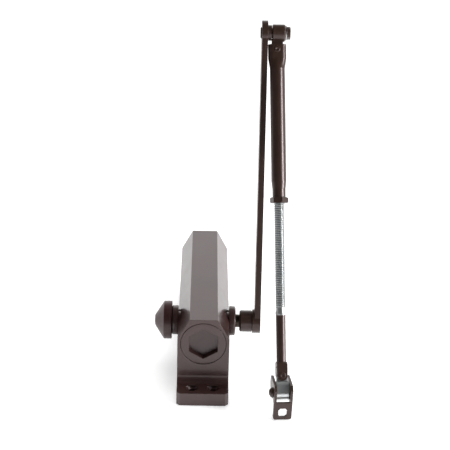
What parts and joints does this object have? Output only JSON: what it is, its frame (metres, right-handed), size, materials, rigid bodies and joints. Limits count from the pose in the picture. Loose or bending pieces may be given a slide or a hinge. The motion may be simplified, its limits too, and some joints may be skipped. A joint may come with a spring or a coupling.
{
  "type": "door closer",
  "caption": "Surface door closer: bronze rack-and-pinion body with end feet, pinion cap, flat main arm and adjustable rod forearm ending in a frame shoe.",
  "frame": {"origin": "centre of the four fixing holes, on the face that meets the door", "axes": "+Z out of the door face, +Y along the body from the pinion end to the spring end, +X along the pinion towards the arm"},
  "size_m": [0.1241, 0.2627, 0.3181],
  "materials": {
    "body_paint": "cast aluminium under satin dark bronze paint",
    "bronze_paint": "satin dark bronze paint with a clear gloss",
    "cap_plastic": "moulded plastic, dark bronze",
    "zinc": "bright zinc plated steel",
    "steel": "machined steel, oiled",
    "spring_steel": "shot-peened spring steel",
    "bush_bronze": "sintered bronze",
    "seal_rubber": "black nitrile rubber"
  },
  "bodies": {
    "closer": {"body_casting": "body_paint", "near_plug": "bronze_paint", "near_plug_seal": "seal_rubber", "far_plug": "bronze_paint", "far_plug_seal": "seal_rubber", "right_bearing_housing": "bronze_paint", "left_bearing_housing": "bronze_paint", "pinion_bush": "bush_bronze", "shaft_seal": "seal_rubber", "pinion_cap": "cap_plastic", "outer_spring": "spring_steel", "inner_spring": "spring_steel"},
    "drive": {"pinion": "steel", "main_arm": "bronze_paint", "arm_washer": "zinc", "arm_screw": "bronze_paint", "elbow_stud": "bronze_paint", "elbow_washer": "zinc", "elbow_screw": "bronze_paint"},
    "piston": {"piston": "steel", "piston_ring": "seal_rubber", "check_ball": "steel", "check_retainer": "steel"},
    "sweep_valve": {"sweep_valve": "steel", "sweep_valve_seal": "seal_rubber"},
    "latch_valve": {"latch_valve": "steel", "latch_valve_seal": "seal_rubber"},
    "elbow": {"elbow_knuckle": "bronze_paint"},
    "tube": {"forearm_tube": "bronze_paint", "tube_rivet": "bronze_paint", "jam_nut": "bronze_paint"},
    "rod": {"threaded_rod": "zinc", "rod_end": "bronze_paint", "rod_rivet": "bronze_paint"},
    "shoe_knuckle": {"shoe_knuckle": "zinc"},
    "shoe": {"shoe_bracket": "bronze_paint", "shoe_pin": "bronze_paint"}
  },
  "joints": [
    {"name": "pinion_turn", "type": "hinge", "parent": "closer", "child": "drive", "pos_m": [0, -0.053, 0.051], "axis": [1, 0, 0], "range_deg": [0, 140], "stiffness_Nm_per_rad": 4.5, "springref_deg": -114.59},
    {"name": "piston_slide", "type": "slide", "parent": "closer", "child": "piston", "axis": [0, 1, 0], "range_m": [0, 0.0162], "deforming": ["outer_spring", "inner_spring"]},
    {"name": "sweep_valve_turn", "type": "hinge", "parent": "closer", "child": "sweep_valve", "pos_m": [-0.01, 0.0915, 0.024], "axis": [0, 1, 0], "range_deg": [-180, 180]},
    {"name": "latch_valve_turn", "type": "hinge", "parent": "closer", "child": "latch_valve", "pos_m": [0.01, 0.0915, 0.024], "axis": [0, 1, 0], "range_deg": [-180, 180]},
    {"name": "elbow_turn", "type": "hinge", "parent": "drive", "child": "elbow", "pos_m": [0.0562, 0.01087, 0.30716], "axis": [1, 0, 0], "continuous": true},
    {"name": "tube_sway", "type": "hinge", "parent": "elbow", "child": "tube", "pos_m": [0.0607, 0.00416, 0.29374], "axis": [0, -0.8945, 0.4471], "range_deg": [-0.8, 3]},
    {"name": "rod_adjust", "type": "slide", "parent": "tube", "child": "rod", "axis": [0.0293, -0.4469, -0.8941], "range_m": [-0.04, 0.04]},
    {"name": "rod_sway", "type": "hinge", "parent": "rod", "child": "shoe_knuckle", "pos_m": [0.06917, -0.12492, 0.03553], "axis": [0.1132, -0.8872, 0.4472], "range_deg": [-3, 3]},
    {"name": "shoe_turn", "type": "hinge", "parent": "shoe_knuckle", "child": "shoe", "pos_m": [0.06961, -0.13162, 0.02212], "axis": [0.9931, 0.1143, -0.0246], "range_deg": [-90, 90]}
  ],
  "couplings": [
    {"joint": "piston_slide", "follows": "pinion_turn", "m_per_rad": 0.0066}
  ]
}
